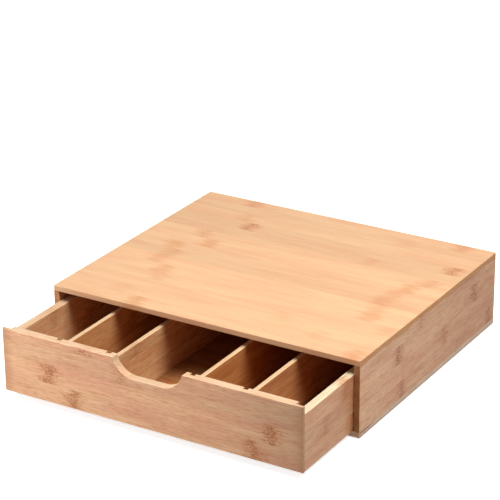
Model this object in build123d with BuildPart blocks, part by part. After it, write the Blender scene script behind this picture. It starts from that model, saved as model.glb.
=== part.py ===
"""Bamboo storage drawer: a flat casing that stands on a worktop, with one wide drawer that runs
on the casing's base board and is divided into five compartments.

Millimetres. The origin is the centre of the casing's footprint on the surface it stands on:
X runs from left to right as seen from the front, Y from front to back, and Z up.
The drawer is drawn pulled out by drawer_open. Closed, its front is flush with the casing.
"""
import os

from build123d import *

# ---- casing ----
case_width = 350.0
case_depth = 298.0
case_height = 81.0             # the boards alone, without the pads underneath
top_thickness = 6.0
base_thickness = 6.0
side_thickness = 6.0
back_thickness = 5.0
back_rabbet_width = 3.0        # step at the rear of each side that takes the back's end
tongue_thickness = 3.0         # tongue along the upper and the lower edge of each side
tongue_height = 2.0
tongue_stop = 10.0             # plain edge left before each end of a tongue
top_edge_radius = 0.8
case_edge_radius = 0.5
pad_diameter = 12.0
pad_height = 1.5
pad_edge_chamfer = 0.4
pad_inset = 20.0               # from the casing's edges to a pad's centre

# ---- fits ----
joint_clearance = 0.1          # each way in the glued grooves and housings
floor_play = 0.3               # each way, for the drawer's floor to swell
drawer_side_gap = 1.0
drawer_base_gap = 0.3
drawer_top_gap = 1.5
drawer_back_gap = 0.5          # left behind the drawer when its front is flush

# ---- drawer ----
drawer_open = 95.0
front_thickness = 9.0
front_lip = 3.0                # what the steps at its ends leave of the front's thickness
front_rise = 8.5               # how far the front stands above the sides
drawer_side_thickness = 9.0
drawer_back_thickness = 9.0
back_housing_depth = 4.0       # step at the rear of each side that takes the back's end
divider_thickness = 5.0
divider_housing_depth = 4.0
middle_compartment = 89.0
floor_thickness = 3.0
floor_lift = 4.0               # from the lower edges of the drawer up to its floor
floor_groove_depth = 4.0
drawer_edge_radius = 0.5

# ---- finger scoop in the upper edge of the drawer's front ----
scoop_width = 79.0
scoop_depth = 18.0
scoop_radius = 23.0
scoop_corner_radius = 1.5

# ---- levels and places that follow from these ----
inner_z = pad_height + base_thickness
ceiling_z = pad_height + case_height - top_thickness
inner_height = ceiling_z - inner_z
inner_width = case_width - 2 * side_thickness
case_side_x = (case_width - side_thickness) / 2
back_y = case_depth / 2 - back_thickness

drawer_width = inner_width - 2 * drawer_side_gap
drawer_length = case_depth - back_thickness - drawer_back_gap
drawer_z = inner_z + drawer_base_gap
front_height = inner_height - drawer_base_gap - drawer_top_gap
drawer_side_height = front_height - front_rise
front_y = -case_depth / 2 - drawer_open
front_inner_y = front_y + front_thickness
drawer_side_y = front_y + front_lip
drawer_back_y = front_y + drawer_length - drawer_back_thickness
drawer_inner_width = drawer_width - 2 * drawer_side_thickness
drawer_side_x = (drawer_width - drawer_side_thickness) / 2
floor_z = drawer_z + floor_lift
floor_top_z = floor_z + floor_thickness

narrow_compartment = (drawer_inner_width - 4 * divider_thickness - middle_compartment) / 4
inner_divider_x = (middle_compartment + divider_thickness) / 2
outer_divider_x = inner_divider_x + divider_thickness + narrow_compartment
divider_places = [-outer_divider_x, -inner_divider_x, inner_divider_x, outer_divider_x]

# ---- grooves and housings, cut to what they hold ----
groove_width = tongue_thickness + 2 * joint_clearance
groove_depth = tongue_height + joint_clearance
tongue_length = case_depth - 2 * tongue_stop
groove_length = tongue_length + 2 * joint_clearance + groove_width
divider_housing_width = divider_thickness + 2 * joint_clearance
floor_groove_height = floor_thickness + 2 * joint_clearance

low_centre = (Align.CENTER, Align.MIN)
low_corner = (Align.MIN, Align.MIN)

os.makedirs("parts", exist_ok=True)


# Top board: lies over both sides, and has a routed groove underneath for each one's tongue.
with BuildPart() as top_panel:
    with BuildSketch(Plane.XY.offset(ceiling_z)):
        Rectangle(case_width, case_depth)
    extrude(amount=top_thickness)
    fillet(top_panel.edges(), radius=top_edge_radius)
    with BuildSketch(Plane.XY.offset(ceiling_z)):
        with Locations((-case_side_x, 0), (case_side_x, 0)):
            SlotOverall(groove_length, groove_width, rotation=90)
    extrude(amount=groove_depth, mode=Mode.SUBTRACT)
top_panel.part.label = "top_panel"
export_step(top_panel.part, "parts/top_panel.step")

# Base board: full size under the sides, with the same two grooves in its upper face.
with BuildPart() as base_panel:
    with BuildSketch(Plane.XY.offset(pad_height)):
        Rectangle(case_width, case_depth)
    extrude(amount=base_thickness)
    fillet(base_panel.edges(), radius=case_edge_radius)
    with BuildSketch(Plane.XY.offset(inner_z)):
        with Locations((-case_side_x, 0), (case_side_x, 0)):
            SlotOverall(groove_length, groove_width, rotation=90)
    extrude(amount=-groove_depth, mode=Mode.SUBTRACT)
base_panel.part.label = "base_panel"
export_step(base_panel.part, "parts/base_panel.step")

# Right side of the casing, drawn in plan: stepped at the rear for the back, with a tongue along
# its upper and its lower edge that stops short of both ends.
with BuildPart() as side_panel_right:
    with BuildSketch(Plane.XY.offset(inner_z)) as side_plan:
        with Locations((case_side_x, 0)):
            Rectangle(side_thickness, case_depth)
        fillet(side_plan.vertices(), radius=case_edge_radius)
        with Locations((inner_width / 2, back_y)):
            Rectangle(back_rabbet_width, back_thickness, align=low_corner, mode=Mode.SUBTRACT)
    extrude(amount=inner_height)
    with BuildSketch(Plane.XY.offset(inner_z - tongue_height)):
        with Locations((case_side_x, 0)):
            Rectangle(tongue_thickness, tongue_length)
    extrude(amount=inner_height + 2 * tongue_height)
side_panel_right.part.label = "side_panel_right"
export_step(side_panel_right.part, "parts/side_panel_right.step")

with BuildPart() as side_panel_left:
    mirror(side_panel_right.part, about=Plane.YZ)
side_panel_left.part.label = "side_panel_left"
export_step(side_panel_left.part, "parts/side_panel_left.step")

# Back of the casing: its ends lie in the steps of the sides, between the top and the base.
with BuildPart() as back_panel:
    with BuildSketch(Plane.XY.offset(inner_z)) as back_plan:
        with Locations((0, back_y)):
            Rectangle(inner_width + 2 * back_rabbet_width, back_thickness, align=low_centre)
        fillet(back_plan.vertices().group_by(Axis.Y)[-1], radius=case_edge_radius)
    extrude(amount=inner_height)
back_panel.part.label = "back_panel"
export_step(back_panel.part, "parts/back_panel.step")

# Four self-adhesive rubber pads under the corners of the base.
pad_x = case_width / 2 - pad_inset
pad_y = case_depth / 2 - pad_inset
pad_places = {
    "pad_front_left": (-pad_x, -pad_y),
    "pad_front_right": (pad_x, -pad_y),
    "pad_back_left": (-pad_x, pad_y),
    "pad_back_right": (pad_x, pad_y),
}
for pad_name, pad_place in pad_places.items():
    with BuildPart() as pad:
        with BuildSketch():
            with Locations(pad_place):
                Circle(pad_diameter / 2)
        extrude(amount=pad_height)
        chamfer(pad.faces().sort_by(Axis.Z)[0].edges(), length=pad_edge_chamfer)
    pad.part.label = pad_name
    export_step(pad.part, f"parts/{pad_name}.step")

# Finger scoop, seen from the front: a flat bottom between two large arcs.
front_plane = Plane.XZ.offset(-front_y)
with BuildSketch(front_plane) as scoop_outline:
    with Locations((0, drawer_z + front_height - scoop_depth)):
        Rectangle(scoop_width, scoop_depth + scoop_radius, align=low_centre)
    fillet(scoop_outline.vertices().group_by(Axis.Y)[0], radius=scoop_radius)

# Drawer front: one board with the scoop sunk into its upper edge. Its inner face is stepped at
# both ends for the sides, housed from edge to edge for the four dividers, so that the housings
# show as notches in the upper edge, and grooved for the floor.
inner_plane = Plane.XZ.offset(-front_inner_y)
with BuildPart() as drawer_front:
    with BuildSketch(front_plane) as front_outline:
        with Locations((0, drawer_z)):
            Rectangle(drawer_width, front_height, align=low_centre)
        add(scoop_outline.sketch_local, mode=Mode.SUBTRACT)
        scoop_corners = front_outline.vertices().group_by(Axis.Y)[-1].sort_by(Axis.X)[1:-1]
        fillet(scoop_corners, radius=scoop_corner_radius)
    extrude(amount=-front_thickness)
    fillet(drawer_front.faces().sort_by(Axis.Y)[0].edges(), radius=drawer_edge_radius)
    fillet(drawer_front.faces().sort_by(Axis.Y)[-1].edges(), radius=drawer_edge_radius)
    with BuildSketch(inner_plane):
        with Locations((-drawer_side_x, drawer_z), (drawer_side_x, drawer_z)):
            Rectangle(drawer_side_thickness, front_height, align=low_centre)
    extrude(amount=front_thickness - front_lip, mode=Mode.SUBTRACT)
    with BuildSketch(inner_plane):
        with Locations([(x, drawer_z) for x in divider_places]):
            Rectangle(divider_housing_width, front_height, align=low_centre)
    extrude(amount=divider_housing_depth, mode=Mode.SUBTRACT)
    with BuildSketch(inner_plane):
        with Locations((0, floor_z)):
            Rectangle(drawer_inner_width, floor_groove_height, align=low_centre)
    extrude(amount=floor_groove_depth, mode=Mode.SUBTRACT)
drawer_front.part.label = "drawer_front"
export_step(drawer_front.part, "parts/drawer_front.step")

# Right side of the drawer: a grooved strip cut to length. Its front end sits in the step of the
# front, and its rear end is stepped for the back.
with BuildPart() as drawer_side_right:
    with BuildSketch(Plane.XZ.offset(-drawer_side_y)) as drawer_side_section:
        with Locations((drawer_side_x, drawer_z)):
            Rectangle(drawer_side_thickness, drawer_side_height, align=low_centre)
        fillet(drawer_side_section.vertices(), radius=drawer_edge_radius)
        with Locations((drawer_inner_width / 2, floor_z)):
            Rectangle(floor_groove_depth, floor_groove_height, align=low_corner, mode=Mode.SUBTRACT)
    extrude(amount=front_lip - drawer_length)
    with BuildSketch(Plane.XY.offset(drawer_z)):
        with Locations((drawer_inner_width / 2, drawer_back_y)):
            Rectangle(back_housing_depth, drawer_back_thickness, align=low_corner)
    extrude(amount=drawer_side_height, mode=Mode.SUBTRACT)
drawer_side_right.part.label = "drawer_side_right"
export_step(drawer_side_right.part, "parts/drawer_side_right.step")

with BuildPart() as drawer_side_left:
    mirror(drawer_side_right.part, about=Plane.YZ)
drawer_side_left.part.label = "drawer_side_left"
export_step(drawer_side_left.part, "parts/drawer_side_left.step")

# Back of the drawer: the same strip as the sides, with its ends in their steps, housed for the
# dividers over its full height.
with BuildPart() as drawer_back:
    with BuildSketch(Plane.YZ) as drawer_back_section:
        with Locations((drawer_back_y, drawer_z)):
            Rectangle(drawer_back_thickness, drawer_side_height, align=low_corner)
        fillet(drawer_back_section.vertices(), radius=drawer_edge_radius)
        with Locations((drawer_back_y, floor_z)):
            Rectangle(floor_groove_depth, floor_groove_height, align=low_corner, mode=Mode.SUBTRACT)
    extrude(amount=drawer_inner_width / 2 + back_housing_depth, both=True)
    with BuildSketch(Plane.XY.offset(drawer_z)):
        with Locations([(x, drawer_back_y) for x in divider_places]):
            Rectangle(divider_housing_width, divider_housing_depth, align=low_centre)
    extrude(amount=drawer_side_height, mode=Mode.SUBTRACT)
drawer_back.part.label = "drawer_back"
export_step(drawer_back.part, "parts/drawer_back.step")

# Floor of the drawer: a thin board that lies loose in the grooves of all four walls.
floor_reach = floor_groove_depth - floor_play
with BuildPart() as drawer_floor:
    with BuildSketch(Plane.XY.offset(floor_z)):
        with Locations((0, front_inner_y - floor_reach)):
            Rectangle(
                drawer_inner_width + 2 * floor_reach,
                drawer_back_y - front_inner_y + 2 * floor_reach,
                align=low_centre,
            )
    extrude(amount=floor_thickness)
drawer_floor.part.label = "drawer_floor"
export_step(drawer_floor.part, "parts/drawer_floor.step")

# Four dividers: strips that stand on the floor, level with the sides, with both ends in their
# housings.
divider_reach = divider_housing_depth - joint_clearance
divider_height = drawer_z + drawer_side_height - floor_top_z
for number, place in enumerate(divider_places, start=1):
    with BuildPart() as divider:
        with BuildSketch(Plane.XZ.offset(divider_reach - front_inner_y)) as divider_section:
            with Locations((place, floor_top_z)):
                Rectangle(divider_thickness, divider_height, align=low_centre)
            fillet(divider_section.vertices().group_by(Axis.Y)[-1], radius=drawer_edge_radius)
        extrude(amount=front_inner_y - drawer_back_y - 2 * divider_reach)
    divider.part.label = f"divider_{number}"
    export_step(divider.part, f"parts/divider_{number}.step")
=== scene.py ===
"""Looks of the bamboo storage drawer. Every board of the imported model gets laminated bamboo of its
own, with strips, fibres and knuckles at about their real size, and stands on a pale studio floor."""
import math

import bpy
from mathutils import Euler, Matrix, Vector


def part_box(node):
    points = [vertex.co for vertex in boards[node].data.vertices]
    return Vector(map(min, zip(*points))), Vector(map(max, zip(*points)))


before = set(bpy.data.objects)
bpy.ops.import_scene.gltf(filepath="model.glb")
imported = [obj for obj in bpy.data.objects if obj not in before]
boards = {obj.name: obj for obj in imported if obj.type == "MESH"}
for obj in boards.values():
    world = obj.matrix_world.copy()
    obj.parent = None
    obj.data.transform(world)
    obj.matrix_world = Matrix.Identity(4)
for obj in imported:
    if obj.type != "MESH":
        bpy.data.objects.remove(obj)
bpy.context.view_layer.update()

# ---------------------------------------------------------------- camera
# The photograph was taken from the right of the open drawer with a long lens, a little above
# it. Place and direction were worked out from the straight edges of the casing.
camera_place = (0.99016, -1.69169, 0.93447)     # m
camera_turn = math.radians(31.183)              # to the right of straight ahead
camera_fall = math.radians(22.987)              # below the horizon
camera_roll = math.radians(-0.505)
lens_length = 150.44                            # mm, on a sensor 36 mm wide

camera = bpy.data.objects.new("camera", bpy.data.cameras.new("camera"))
bpy.context.scene.collection.objects.link(camera)
aim = Euler((math.pi / 2 - camera_fall, 0, camera_turn)).to_matrix()
aim = aim @ Matrix.Rotation(camera_roll, 3, "Z")
camera.matrix_world = Matrix.Translation(camera_place) @ aim.to_4x4()
camera.data.sensor_width = 36
camera.data.lens = lens_length
camera.data.clip_start = 0.05
bpy.context.scene.camera = camera

# ---------------------------------------------------------------- top board of the casing
# Laminated bamboo, carbonised to a light caramel: strips sawn from the cane's wall are steamed,
# glued side by side, planed and given a satin lacquer. The eye gets fine fibres along the grain,
# a slight change of tone from strip to strip, and the freckled brown knuckles of the cane.
strip_width = 20.0                           # mm, of one strip of cane
strip_shades = (0.93, 1.03)                  # tone of the darkest and of the lightest strip
cane_length = 900.0                          # mm of cane, from which each strip is a random piece
glue_line, glue_shade = 0.6, 0.88            # mm and tone, drawn as coarse as it needs to show
patch_length, patch_width = 95.0, 13.0       # mm, slow drift between a yellower and a redder tone
fibre_length, fibre_width = 40.0, 1.0        # mm, bundles drawn coarser than the real 0.5
dense_tint = (0.86, 0.76, 0.66)              # what dense fibres leave of red, green and blue
dash_length, dash_width = 10.0, 0.8          # mm, dark ends of bundles that the plane cut
dash_strength = 0.4
bundle_spacing = 1.4                         # mm, of the dots on a sawn end, coarser than real
soak_reach = 11.0                            # mm, that lacquer creeps in from a sawn end
soak_tint = (0.66, 0.56, 0.46)               # what it leaves of red, green and blue
knuckle_core, knuckle_reach = 3.5, 14.0      # mm to each side, evenly stained and stained at all
tear_length, tear_width, tear = 26.0, 1.6, 6.0     # mm, ragged sides of a knuckle
bow_length, bow_width, bow = 500.0, 12.0, 2.0      # mm, slow bend of its middle
stain_strength = 0.5
freckle_length, freckle_width = 3.2, 1.2     # mm, of the specks in the stain
crowd_reach, crowd = 6.0, 0.12               # mm to each side and how much more they crowd there
# the paleness along the edges is partly wearing and partly a painted highlight
arris = 1.3                                  # mm, worn pale along the board's edges
paler_by_wear_and_highlight, worn_duller = 0.1, 0.2
relief = 0.0001                              # m, of the fibres under the lacquer
stain_red = "C67640"                         # soft stain of a knuckle
cane_brown = "A04C14"                        # cut bundles of fibres
freckle_brown = "96501A"                     # freckles in a knuckle
noise_low, noise_high = 0.3, 0.7             # most of Blender's noise lies between these


def linear(code):
    """An sRGB hex colour as linear light."""
    parts = [int(code[i:i + 2], 16) / 255 for i in (0, 2, 4)]
    return [c / 12.92 if c <= 0.04045 else ((c + 0.055) / 1.055) ** 2.4 for c in parts] + [1]


def add(tree, kind, inputs, **settings):
    """Adds a node with its settings. Each input takes a value, another node's socket, or another
    node, which stands for its first result."""
    made = tree.nodes.new(kind)
    for name, value in settings.items():
        setattr(made, name, value)
    for name, value in inputs.items():
        if isinstance(value, bpy.types.Node):
            value = next(socket for socket in value.outputs if socket.enabled)
        if isinstance(value, bpy.types.NodeSocket):
            tree.links.new(value, made.inputs[name])
        else:
            made.inputs[name].default_value = value
    return made


def surface(name, **looks):
    """A new material, its node tree and its Principled shader with these looks."""
    material = bpy.data.materials.new(name)
    material.use_nodes = True
    shader = material.node_tree.nodes["Principled BSDF"]
    for socket, value in looks.items():
        shader.inputs[socket.replace("_", " ")].default_value = value
    return material, material.node_tree, shader


def dress(node, material):
    """Gives a node of the model this material alone."""
    boards[node].data.materials.clear()
    boards[node].data.materials.append(material)


def lay_out_strips(tree, node, grain, across):
    """Measures a board in mm along its grain, across its strips and through it. Gives each strip
    its number, chances of its own, and its own piece of cane to be cut from."""
    low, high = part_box(node)
    ends = [corner["XYZ".index(grain)] * 1000 for corner in (low, high)]
    through = ({"X", "Y", "Z"} - {grain, across}).pop()
    place = add(tree, "ShaderNodeTexCoord", {})
    metres = add(tree, "ShaderNodeSeparateXYZ", {"Vector": place.outputs["Object"]})
    facing = add(tree, "ShaderNodeSeparateXYZ", {"Vector": place.outputs["Normal"]})
    along, over, deep = (
        add(tree, "ShaderNodeMath", {0: metres.outputs[axis], 1: 1000}, operation="MULTIPLY")
        for axis in (grain, across, through)
    )
    first_edge = low["XYZ".index(across)] * 1000
    from_edge = add(tree, "ShaderNodeMath", {0: over, 1: first_edge}, operation="SUBTRACT")
    strip = add(tree, "ShaderNodeMath", {0: from_edge, 1: strip_width}, operation="DIVIDE")
    number = add(tree, "ShaderNodeMath", {0: strip}, operation="FLOOR")
    board_middle = (low + high) * 500           # mm, so that each board draws other chances
    luck = add(
        tree, "ShaderNodeTexWhiteNoise", {"Vector": board_middle, "W": number},
        noise_dimensions="4D",
    )
    luck = add(tree, "ShaderNodeSeparateColor", {"Color": luck.outputs["Color"]})
    shift = add(
        tree, "ShaderNodeMath", {0: luck.outputs["Red"], 1: cane_length}, operation="MULTIPLY"
    )
    shifted = add(tree, "ShaderNodeMath", {0: along, 1: shift}, operation="ADD")
    return {
        "place": place.outputs, "metres": metres.outputs, "facing": facing.outputs,
        "through": through, "along": along, "ends": ends, "strip": strip, "number": number,
        "luck": luck.outputs["Green"],
        "cane": add(tree, "ShaderNodeCombineXYZ", {"X": shifted, "Y": over, "Z": deep}),
    }


def grow(tree, lay, length, width, detail):
    """Noise drawn out along the grain, with patches of this length and width in mm."""
    size = (1 / length, 1 / width, 1 / width)
    drawn = add(tree, "ShaderNodeVectorMath", {0: lay["cane"], 1: size}, operation="MULTIPLY")
    return add(
        tree, "ShaderNodeTexNoise",
        {"Vector": drawn, "Scale": 1, "Detail": detail, "Roughness": 0.55},
    )


def grow_flesh(tree, lay, yellow, red, drift):
    """The cane's flesh, in slow patches between a yellow and a red tone. Drift gives the two
    places in mm along the grain between which it takes on a tint, and that tint."""
    patch = grow(tree, lay, patch_length, patch_width, 2)
    ripe = add(tree, "ShaderNodeMapRange", {"Value": patch, "From Min": 0.36, "From Max": 0.62})
    flesh = add(
        tree, "ShaderNodeMix", {"Factor": ripe, "A": linear(red), "B": linear(yellow)},
        data_type="RGBA",
    )
    if not drift:
        return flesh
    first, last, tint = drift
    changed = add(
        tree, "ShaderNodeMapRange", {"Value": lay["along"], "From Min": first, "From Max": last},
        interpolation_type="SMOOTHSTEP",
    )
    tinted = add(
        tree, "ShaderNodeVectorMath", {0: flesh, 1: linear(tint)[:3]}, operation="MULTIPLY"
    )
    return add(
        tree, "ShaderNodeMix", {"Factor": changed, "A": flesh, "B": tinted}, data_type="RGBA"
    )


def paint_curve_highlight(tree, lay, flesh, paler):
    """Painted highlight: the faces that curve, between upright and level, are painted paler."""
    rise = add(tree, "ShaderNodeMath", {0: lay["facing"]["Z"]}, operation="ABSOLUTE")
    not_upright = add(
        tree, "ShaderNodeMapRange", {"Value": rise, "From Min": 0.35, "From Max": 0.7}
    )
    not_level = add(
        tree, "ShaderNodeMapRange", {"Value": rise, "From Min": 0.995, "From Max": 0.93}
    )
    curved = add(tree, "ShaderNodeMath", {0: not_upright, 1: not_level}, operation="MULTIPLY")
    tone = add(tree, "ShaderNodeMath", {0: curved, 1: paler, 2: 1}, operation="MULTIPLY_ADD")
    return add(tree, "ShaderNodeVectorMath", {0: flesh, "Scale": tone}, operation="SCALE")


def glue_strips(tree, lay, flesh):
    """Every strip is a little lighter or darker, with a glue line at its edge."""
    darkest, lightest = strip_shades
    shade = add(
        tree, "ShaderNodeMapRange", {"Value": lay["luck"], "To Min": darkest, "To Max": lightest}
    )
    part = add(tree, "ShaderNodeMath", {0: lay["strip"]}, operation="FRACT")
    joint = add(
        tree, "ShaderNodeMapRange",
        {"Value": part, "From Max": glue_line / strip_width, "To Min": glue_shade, "To Max": 1},
    )
    tone = add(tree, "ShaderNodeMath", {0: shade, 1: joint}, operation="MULTIPLY")
    return add(tree, "ShaderNodeVectorMath", {0: flesh, "Scale": tone}, operation="SCALE")


def soak_ends(tree, lay, fibre, wood, soak):
    """Lacquer creeps in along the fibres from the sawn ends, and darkens the wood by soak."""
    low, high = lay["ends"]
    off_middle = add(
        tree, "ShaderNodeMath", {0: lay["along"], 1: (low + high) / 2}, operation="SUBTRACT"
    )
    off_middle = add(tree, "ShaderNodeMath", {0: off_middle}, operation="ABSOLUTE")
    crept = add(
        tree, "ShaderNodeMath", {0: fibre, 1: 4 * soak_reach, 2: -2 * soak_reach},
        operation="MULTIPLY_ADD",
    )
    crept = add(tree, "ShaderNodeMath", {0: off_middle, 1: crept}, operation="ADD")
    wet = add(
        tree, "ShaderNodeMapRange",
        {"Value": crept, "From Min": (high - low) / 2 - soak_reach, "From Max": (high - low) / 2,
         "To Max": soak},
    )
    soaked = add(tree, "ShaderNodeVectorMath", {0: wood, 1: soak_tint}, operation="MULTIPLY")
    return add(tree, "ShaderNodeMix", {"Factor": wet, "A": wood, "B": soaked}, data_type="RGBA")


def knuckle_marks(tree, lay, knuckles):
    """How far the knuckles stain a point, and how far they darken it with freckles, which crowd
    in their middle. The list has a row for each strip: its knuckle's place in mm along the grain,
    the internode in mm after which it comes again, and how strong its stain and freckles are."""
    # a band of colour for each strip holds its four numbers as red, green, blue and alpha
    rows = add(tree, "ShaderNodeValToRGB", {})
    rows.color_ramp.interpolation = "CONSTANT"
    for count, (there, internode, stained, freckled) in enumerate(knuckles):
        stops = rows.color_ramp.elements
        stop = stops[count] if count < 2 else stops.new(count / len(knuckles))
        stop.position = count / len(knuckles)
        stop.color = (there / 1000 + 0.5, internode / 2000, stained, freckled)
    row = add(
        tree, "ShaderNodeMath",
        {0: lay["number"], 1: 1 / len(knuckles), 2: 0.5 / len(knuckles)}, operation="MULTIPLY_ADD",
    )
    tree.links.new(row.outputs[0], rows.inputs["Fac"])
    row = add(tree, "ShaderNodeSeparateColor", {"Color": rows.outputs["Color"]})
    there = add(
        tree, "ShaderNodeMath", {0: row.outputs["Red"], 1: 1000, 2: -500}, operation="MULTIPLY_ADD"
    )
    half = add(tree, "ShaderNodeMath", {0: row.outputs["Green"], 1: 1000}, operation="MULTIPLY")

    # how far a point is from the middle of the nearest knuckle, and from its ragged stain
    ragged, bowed = (
        add(
            tree, "ShaderNodeMapRange",
            {"Value": grow(tree, lay, length, width, detail), "From Min": noise_low,
             "From Max": noise_high, "To Min": -most, "To Max": most},
        )
        for length, width, detail, most in (
            (tear_length, tear_width, 1, tear), (bow_length, bow_width, 0, bow),
        )
    )
    bent = add(tree, "ShaderNodeMath", {0: lay["along"], 1: bowed}, operation="ADD")
    bent = add(tree, "ShaderNodeMath", {0: bent, 1: there}, operation="SUBTRACT")
    torn = add(tree, "ShaderNodeMath", {0: bent, 1: ragged}, operation="ADD")
    beside = add(tree, "ShaderNodeMath", {0: torn, 1: half}, operation="PINGPONG")
    middle = add(tree, "ShaderNodeMath", {0: bent, 1: half}, operation="PINGPONG")

    stain = add(
        tree, "ShaderNodeMapRange",
        {"Value": beside, "From Min": knuckle_reach, "From Max": knuckle_core},
        interpolation_type="SMOOTHSTEP",
    )
    crowded = add(
        tree, "ShaderNodeMapRange",
        {"Value": middle, "From Min": crowd_reach, "From Max": 0, "To Max": crowd},
    )
    spots = grow(tree, lay, freckle_length, freckle_width, 1)
    spots = add(tree, "ShaderNodeMath", {0: spots, 1: crowded}, operation="ADD")
    freckles = add(
        tree, "ShaderNodeMapRange", {"Value": spots, "From Min": 0.48, "From Max": 0.62}
    )
    specks = add(tree, "ShaderNodeMath", {0: stain, 1: freckles}, operation="MULTIPLY")
    return [
        add(tree, "ShaderNodeMath", {0: mark, 1: strength}, operation="MULTIPLY")
        for mark, strength in ((stain, row.outputs["Blue"]), (specks, rows.outputs["Alpha"]))
    ]


def saw_ends(tree, lay, grain, wood, sawn, lines):
    """The sawn ends drink more lacquer, which tints them, and show the fibre bundles as dots.
    Lines gives dark lines of painted shade that lie along them: height, reach to each side, what
    is left of the tone, and the two places from front to back between which the line fades out, if it
    does."""
    towards = add(tree, "ShaderNodeMath", {0: lay["facing"][grain]}, operation="ABSOLUTE")
    end = add(tree, "ShaderNodeMapRange", {"Value": towards, "From Min": 0.98, "From Max": 0.995})
    bundles = add(
        tree, "ShaderNodeTexVoronoi",
        {"Vector": lay["place"]["Object"], "Scale": 1000 / bundle_spacing},
    )
    dots = add(
        tree, "ShaderNodeMapRange",
        {"Value": bundles, "From Min": 0.15, "From Max": 0.55, "To Min": 0.75},
    )
    tinted = add(
        tree, "ShaderNodeVectorMath", {0: wood, 1: linear(sawn)[:3]}, operation="MULTIPLY"
    )
    ends = add(tree, "ShaderNodeVectorMath", {0: tinted, "Scale": dots}, operation="SCALE")
    for height, reach, left, fade in lines:
        off = add(
            tree, "ShaderNodeMath", {0: lay["metres"]["Z"], 1: 1000, 2: -height},
            operation="MULTIPLY_ADD",
        )
        off = add(tree, "ShaderNodeMath", {0: off}, operation="ABSOLUTE")
        tone = add(
            tree, "ShaderNodeMapRange",
            {"Value": off, "From Min": reach / 3, "From Max": reach, "To Min": left},
        )
        if fade:
            faded = add(
                tree, "ShaderNodeMapRange",
                {"Value": lay["metres"]["Y"], "From Min": fade[0] / 1000,
                 "From Max": fade[1] / 1000},
            )
            tone = add(tree, "ShaderNodeMath", {0: tone, 1: faded}, operation="MAXIMUM")
        ends = add(tree, "ShaderNodeVectorMath", {0: ends, "Scale": tone}, operation="SCALE")
    return add(tree, "ShaderNodeMix", {"Factor": end, "A": wood, "B": ends}, data_type="RGBA")


def edge_wear_and_highlight(tree, lay, node, fibre):
    """How far hands and sanding have abraded a point near its board's edges, unevenly along the
    fibres; the same mask places a painted highlight along the edges. Of its three distances to a
    pair of faces, the second shortest is that to an edge."""
    low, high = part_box(node)
    inside = []
    for axis, first, last in zip("XYZ", low, high):
        offset = add(
            tree, "ShaderNodeMath", {0: lay["metres"][axis], 1: (first + last) / 2},
            operation="SUBTRACT",
        )
        offset = add(tree, "ShaderNodeMath", {0: offset}, operation="ABSOLUTE")
        inside.append(
            add(tree, "ShaderNodeMath", {0: (last - first) / 2, 1: offset}, operation="SUBTRACT")
        )
    x_gap, y_gap, z_gap = inside
    nearer = add(tree, "ShaderNodeMath", {0: x_gap, 1: y_gap}, operation="MINIMUM")
    further = add(tree, "ShaderNodeMath", {0: x_gap, 1: y_gap}, operation="MAXIMUM")
    further = add(tree, "ShaderNodeMath", {0: further, 1: z_gap}, operation="MINIMUM")
    second = add(tree, "ShaderNodeMath", {0: nearer, 1: further}, operation="MAXIMUM")
    from_edge = add(tree, "ShaderNodeMath", {0: second, 1: 1000}, operation="MULTIPLY")
    uneven = add(
        tree, "ShaderNodeMapRange",
        {"Value": fibre, "From Min": 0.35, "From Max": 0.65, "To Min": arris / 2.5, "To Max": arris},
    )
    kept = add(tree, "ShaderNodeMath", {0: from_edge, 1: uneven}, operation="DIVIDE")
    return add(tree, "ShaderNodeMath", {0: 1, 1: kept}, operation="SUBTRACT", use_clamp=True)


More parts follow.
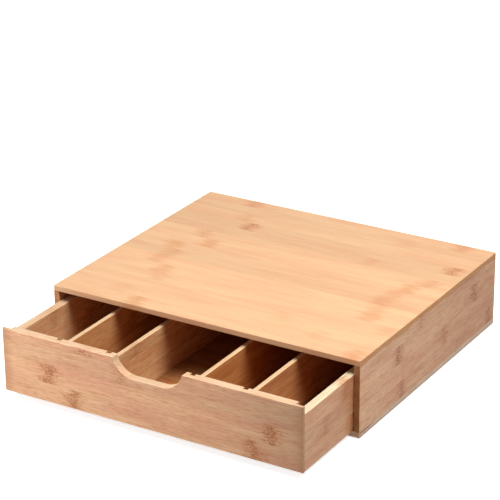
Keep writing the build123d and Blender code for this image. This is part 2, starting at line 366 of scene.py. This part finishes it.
def bamboo(
    node, grain, across, knuckles, yellow, red, rim=None, drift=None, sawn="CBB99A", soak=0.0,
    figure=1.0, lines=(), curve_highlight=0.0,
):
    """Laminated bamboo for one board. Its fibres run along grain, and its strips lie side by side
    along across. Yellow and red are the tones of its flesh, rim is that of its narrow faces,
    and sawn tints its sawn ends. Figure is how strongly the fibres show, and the last argument
    is a painted highlight: how much paler its curved faces are painted. What drift, knuckles and
    lines hold is told by grow_flesh, knuckle_marks and saw_ends, and soak by soak_ends."""
    # the satin lacquer mirrors less than a bare glossy one, so its specular level is low
    material, tree, shader = surface("bamboo_" + node, Specular_IOR_Level=0.3)
    lay = lay_out_strips(tree, node, grain, across)
    fibre = grow(tree, lay, fibre_length, fibre_width, 2)
    flesh = grow_flesh(tree, lay, yellow, red, drift)

    # the narrow faces are sanded, and may have a tone of their own
    broadside = add(
        tree, "ShaderNodeMath", {0: lay["facing"][lay["through"]]}, operation="ABSOLUTE"
    )
    narrow = add(
        tree, "ShaderNodeMapRange", {"Value": broadside, "From Min": 0.8, "From Max": 0.5}
    )
    if rim:
        flesh = add(
            tree, "ShaderNodeMix", {"Factor": narrow, "A": flesh, "B": linear(rim)},
            data_type="RGBA",
        )
    # a painted highlight on the curved faces
    if curve_highlight:
        flesh = paint_curve_highlight(tree, lay, flesh, curve_highlight)
    strips = glue_strips(tree, lay, flesh)

    # where fibres lie dense, the flesh is deeper and redder
    dense = add(
        tree, "ShaderNodeMapRange",
        {"Value": fibre, "From Min": 0.57, "From Max": 0.36, "To Max": figure},
    )
    deeper = add(tree, "ShaderNodeVectorMath", {0: strips, 1: dense_tint}, operation="MULTIPLY")
    wood = add(
        tree, "ShaderNodeMix", {"Factor": dense, "A": strips, "B": deeper}, data_type="RGBA"
    )
    wood = soak_ends(tree, lay, fibre, wood, soak)

    # the knuckles, and the brown ends of cut bundles, which sanding takes off the narrow faces
    stain, specks = knuckle_marks(tree, lay, knuckles)
    dashes = add(
        tree, "ShaderNodeMapRange",
        {"Value": grow(tree, lay, dash_length, dash_width, 1), "From Min": 0.5, "From Max": 0.72,
         "To Max": dash_strength * figure},
    )
    sanded = add(tree, "ShaderNodeMath", {0: narrow, 1: -0.6, 2: 1}, operation="MULTIPLY_ADD")
    stain = add(tree, "ShaderNodeMath", {0: stain, 1: stain_strength}, operation="MULTIPLY")
    dashes = add(tree, "ShaderNodeMath", {0: dashes, 1: sanded}, operation="MULTIPLY")
    specks = add(tree, "ShaderNodeMath", {0: specks, 1: sanded}, operation="MULTIPLY")
    for mark, brown in ((stain, stain_red), (dashes, cane_brown), (specks, freckle_brown)):
        wood = add(
            tree, "ShaderNodeMix", {"Factor": mark, "A": wood, "B": linear(brown)},
            data_type="RGBA",
        )
    wood = saw_ends(tree, lay, grain, wood, sawn, lines)

    # the edges are duller from wearing, and paler, partly from wearing and partly by a painted
    # highlight
    worn_and_highlit = edge_wear_and_highlight(tree, lay, node, fibre)
    # painted highlight, together with paler wearing, along the edges
    paler = add(tree, "ShaderNodeMath", {0: worn_and_highlit, 1: paler_by_wear_and_highlight, 2: 1}, operation="MULTIPLY_ADD")
    wood = add(tree, "ShaderNodeVectorMath", {0: wood, "Scale": paler}, operation="SCALE")
    satin = add(
        tree, "ShaderNodeMapRange",
        {"Value": fibre, "From Min": noise_low, "From Max": noise_high,
         "To Min": 0.56, "To Max": 0.42},
    )
    dull = add(
        tree, "ShaderNodeMath", {0: worn_and_highlit, 1: worn_duller, 2: satin}, operation="MULTIPLY_ADD"
    )

    # the lacquer follows the fibres, and dips at the freckles
    swell = add(tree, "ShaderNodeMath", {0: fibre, 1: specks}, operation="SUBTRACT")
    bump = add(tree, "ShaderNodeBump", {"Height": swell, "Distance": relief, "Strength": 0.6})
    tree.links.new(wood.outputs[0], shader.inputs["Base Color"])
    tree.links.new(dull.outputs[0], shader.inputs["Roughness"])
    tree.links.new(bump.outputs["Normal"], shader.inputs["Normal"])
    dress(node, material)


# a row for each strip, from the front edge to the back one
top_knuckles = [
    (165, 246, 0.7, 0.12), (-114, 228, 0.3, 0), (62, 301, 0.2, 0.06), (166, 262, 0.3, 0.06),
    (137, 239, 0.7, 0.03), (134, 255, 0.6, 0), (131, 247, 0.65, 0.06), (133, 259, 0.7, 0),
    (137, 233, 0.8, 0.03), (153, 268, 0.4, 0.15), (73, 251, 0.3, 0.09), (160, 243, 0.7, 0.5),
    (-98, 290, 0.3, 0.06), (84, 300, 0.3, 0), (140, 252, 0.7, 0.12),
]
bamboo(
    "top_panel", "X", "Y", top_knuckles,
    yellow="E1B68A", red="DDAA81", sawn="DEBC71", figure=0.22,
)

# ---------------------------------------------------------------- base board of the casing
# The same board again, under both sides. The drawer slides on it. At the front, a dark line
# of painted shade stands for the gap where the glue joint with the side has opened, and a painted
# contact shadow darkens its foot.
base_knuckles = [
    (-60, 240, 0.5, 0.5), (20, 262, 0.5, 0.4), (75, 228, 0.6, 0.6), (64, 251, 0.5, 0.4),
    (-88, 236, 0.4, 0.2), (-70, 255, 0.6, 0.6), (41, 244, 0.5, 0.5), (100, 231, 0.4, 0.3),
    (12, 258, 0.5, 0.5), (-25, 246, 0.6, 0.6), (66, 237, 0.4, 0.2), (84, 250, 0.5, 0.5),
    (-99, 242, 0.6, 0.6), (30, 233, 0.4, 0.3), (58, 260, 0.5, 0.4),
]
# painted shade in the gap of the opened glue joint, fading out towards the back
painted_joint_gap_shade = (7.5, 2.1, 0.04, (-141, -116))
# painted contact shadow along the foot of its sawn ends
painted_foot_shadow = (1.5, 2.2, 0.6, None)
bamboo(
    "base_panel", "X", "Y", base_knuckles,
    yellow="ECC39A", red="DFAD85", rim="F5CCAF", sawn="EEF8F6", lines=(painted_joint_gap_shade, painted_foot_shadow),
)

# ---------------------------------------------------------------- sides of the casing
# Boards cut with the grain from front to back, glued to the top and the base by their tongues.
# They are painted darker towards the back, a painted shade for light that falls off from front
# to back. The right one's sawn end is painted darker, a painted shadow of the drawer beside it.
right_knuckles = [
    (-64, 200, 0.4, 0.8), (29, 230, 0.3, 0.7), (-70, 170, 0.3, 1.0), (-22, 240, 0.2, 0.5),
]
left_knuckles = [
    (32, 226, 0.5, 0.5), (-84, 208, 0.5, 0.6), (66, 235, 0.5, 0.5), (-30, 217, 0.4, 0.4),
]
# the right one's darker sawn tint is a painted shadow of the drawer beside it
for node, knuckles, sawn in (
    ("side_panel_right", right_knuckles, "BCA682"), ("side_panel_left", left_knuckles, "CDB894"),
):
    bamboo(
        node, "Y", "Z", knuckles,
        # drift paints shade that darkens each side towards the back
        yellow="E9BC93", red="DCA680", drift=(-150, 150, "EBDDCF"), sawn=sawn, figure=1.35,
    )

# ---------------------------------------------------------------- back of the casing
# One board of the same bamboo between the sides, with the grain lying. The photograph doesn't
# show it, so its tone lies between those of the top and of the drawer's back.
back_knuckles = [
    (-90, 232, 0.6, 0.6), (55, 251, 0.5, 0.4), (-22, 224, 0.6, 0.6), (102, 240, 0.5, 0.5),
]
bamboo("back_panel", "X", "Z", back_knuckles, yellow="DFAB80", red="D3976F")

# ---------------------------------------------------------------- front of the drawer
# One board with the grain lying, sawn out for the fingers and rounded by sanding. Its strips are
# a shade redder than the casing's, and a little darker towards the right end.
front_knuckles = [
    (-86, 201, 0.6, 0.68), (-115, 251, 0.6, 0.8), (-30, 236, 0.3, 0.35), (-72, 250, 0.3, 0.45),
]
bamboo(
    "drawer_front", "X", "Z", front_knuckles,
    yellow="F0C197", red="E6AC89", rim="E2C09D", drift=(60, 175, "E2E2E5"),
    # the last value is a painted highlight on its curved faces
    sawn="EADCD4", soak=0.8, figure=1.1, curve_highlight=0.22,
)

# ---------------------------------------------------------------- sides, back and floor of the drawer
# The same bamboo, sawn to boards and grooved. Their upper edges are sanded and catch the light.
# The floor is a thin darker board that lies loose in the grooves; its darker tone is painted
# shade that keeps the inside of the drawer dark.
bamboo(
    "drawer_side_right", "Y", "Z",
    [(-150, 200, 0.7, 0.5), (-201, 230, 0.4, 0.5), (-163, 210, 0.8, 0.6)],
    # the pale, whitish rim tone is a painted highlight on its narrow faces
    yellow="DCAC82", red="D2966E", rim="DFD2B1", figure=1.2,
)
bamboo(
    "drawer_side_left", "Y", "Z",
    [(-190, 205, 0.3, 0.2), (-110, 190, 0.4, 0.3), (-170, 214, 0.2, 0.3)],
    yellow="FAD3A3", red="F4C08F", rim="E2BF9B",
)
bamboo(
    "drawer_back", "X", "Z",
    [(-40, 226, 0.5, 0.5), (92, 240, 0.5, 0.6), (20, 218, 0.5, 0.5)],
    yellow="D8A26F", red="C98B57", rim="E4BC8E",
)
floor_knuckles = [
    (-80, 226, 0.5, 0.5), (44, 240, 0.5, 0.4), (98, 231, 0.4, 0.4), (-30, 219, 0.5, 0.5),
    (60, 244, 0.5, 0.4), (12, 236, 0.5, 0.5), (-95, 228, 0.5, 0.4), (73, 250, 0.5, 0.5),
    (-50, 222, 0.4, 0.4), (34, 233, 0.5, 0.5), (90, 241, 0.5, 0.4), (-12, 229, 0.5, 0.5),
    (51, 238, 0.5, 0.4), (-66, 246, 0.5, 0.5), (22, 225, 0.5, 0.4),
]
# its darker tone is painted shade for the inside of the drawer
bamboo("drawer_floor", "X", "Y", floor_knuckles, yellow="B58556", red="A47045")

# ---------------------------------------------------------------- dividers
# Thin strips that stand in the housings of the front and the back of the drawer. Each has a
# tone of its own, from pale to brown. Their upper edges are sanded.
dividers = (
    ([(-205, 205, 0.4, 0.3), (-120, 190, 0.4, 0.4), (-60, 212, 0.3, 0.3)], "E8AF78", "D9975F"),
    ([(-140, 198, 0.4, 0.3), (-222, 210, 0.3, 0.3), (10, 206, 0.4, 0.3)], "F4C997", "E4AD7B"),
    ([(-185, 207, 0.4, 0.3), (-90, 195, 0.4, 0.4), (-20, 211, 0.3, 0.4)], "DA9A60", "C8824B"),
    ([(-110, 193, 0.3, 0.3), (-215, 209, 0.4, 0.4), (-70, 202, 0.3, 0.3)], "ECB177", "D89561"),
)
for count, (knuckles, yellow, red) in enumerate(dividers, start=1):
    bamboo(f"divider_{count}", "Y", "Z", knuckles, yellow=yellow, red=red, rim="E1C199")

# ---------------------------------------------------------------- pads
# Self-adhesive pads of black rubber under the corners of the base, cut from a sheet. The skin is
# matt with a fine grain.
rubber_grain = 0.4           # mm
rubber_relief = 0.0001       # m
rubber, rubber_tree, rubber_shader = surface(
    "pad_rubber", Base_Color=linear("2A2A2A"), Roughness=0.78
)
rubber_place = add(rubber_tree, "ShaderNodeTexCoord", {})
grained = add(
    rubber_tree, "ShaderNodeTexNoise",
    {"Vector": rubber_place.outputs["Object"], "Scale": 1000 / rubber_grain, "Detail": 2},
)
skin = add(rubber_tree, "ShaderNodeBump", {"Height": grained, "Distance": rubber_relief})
rubber_tree.links.new(skin.outputs["Normal"], rubber_shader.inputs["Normal"])
for corner in ("front_left", "front_right", "back_left", "back_right"):
    dress("pad_" + corner, rubber)

# ---------------------------------------------------------------- studio floor
# A wide sheet of paper. It is light grey to the lamps, so that it throws little light up at the
# sides, and white to the eye, with the drawer's soft shadow, and it fades into a white room.
floor_half = 6.0                     # m
fade_start, fade_end = 0.3, 0.9      # m from the middle of the floor
near_glow = 0.78                     # of the white that the paper shows in the shadow
lamp_grey, eye_white = "B4B4B4", "F4F4F4"


def looked_at(tree):
    """Whether a ray is the eye's own, straight, off a gloss or through a clear piece."""
    ray = add(tree, "ShaderNodeLightPath", {})
    mirrored = add(
        tree, "ShaderNodeMath",
        {0: ray.outputs["Is Camera Ray"], 1: ray.outputs["Is Glossy Ray"]}, operation="MAXIMUM",
    )
    return add(
        tree, "ShaderNodeMath", {0: mirrored, 1: ray.outputs["Is Transmission Ray"]},
        operation="MAXIMUM",
    )


floor_mesh = bpy.data.meshes.new("floor")
corners = [(-1, -1), (1, -1), (1, 1), (-1, 1)]
floor_mesh.from_pydata([(x * floor_half, y * floor_half, 0) for x, y in corners], [], [(0, 1, 2, 3)])
floor = bpy.data.objects.new("floor", floor_mesh)
bpy.context.scene.collection.objects.link(floor)

paper, paper_tree, paper_shader = surface("floor_paper", Roughness=0.9, Emission_Color=(1, 1, 1, 1))
floor_mesh.materials.append(paper)
paper_seen = looked_at(paper_tree)
sheet = add(
    paper_tree, "ShaderNodeMix",
    {"Factor": paper_seen, "A": linear(lamp_grey), "B": linear(eye_white)}, data_type="RGBA",
)
paper_tree.links.new(sheet.outputs["Result"], paper_shader.inputs["Base Color"])
floor_place = add(paper_tree, "ShaderNodeTexCoord", {})
from_middle = add(
    paper_tree, "ShaderNodeVectorMath", {0: floor_place.outputs["Object"]}, operation="LENGTH"
)
fade = add(
    paper_tree, "ShaderNodeMapRange",
    {"Value": from_middle, "From Min": fade_start, "From Max": fade_end,
     "To Min": near_glow, "To Max": 1},
    interpolation_type="SMOOTHSTEP",
)
glow = add(paper_tree, "ShaderNodeMath", {0: fade, 1: paper_seen}, operation="MULTIPLY")
paper_tree.links.new(glow.outputs[0], paper_shader.inputs["Emission Strength"])

# ---------------------------------------------------------------- studio light
# Three soft boxes in a dim room that is white to the eye: one above the left half of the casing,
# one above its right side, which reaches into the open drawer, and a low one close to the left
# end of the front.
room_light, room_white = 0.1, 1.0    # strength, to the object and to the eye


def softbox(name, place, size, watts):
    """A square area lamp, in metres and watts, that points at the drawer and stays unseen."""
    lamp = bpy.data.lights.new(name, "AREA")
    lamp.size = size
    lamp.energy = watts
    holder = bpy.data.objects.new(name, lamp)
    holder.location = place
    holder.rotation_euler = (-holder.location).to_track_quat("-Z", "Y").to_euler()
    holder.visible_camera = False
    bpy.context.scene.collection.objects.link(holder)


softbox("left_box", (-0.3, -0.3, 1.2), 0.7, 9.8)
softbox("right_box", (0.5, -0.15, 0.9), 0.5, 7.6)
softbox("low_box", (-0.5, -0.75, 0.11), 0.2, 2.6)

world = bpy.data.worlds.new("room")
world.use_nodes = True
bpy.context.scene.world = world
room = world.node_tree
level = add(
    room, "ShaderNodeMapRange",
    {"Value": looked_at(room), "To Min": room_light, "To Max": room_white},
)
room.links.new(level.outputs[0], room.nodes["Background"].inputs["Strength"])
room.nodes["Background"].inputs["Color"].default_value = (1, 1, 1, 1)

bpy.context.scene.view_settings.view_transform = "Standard"
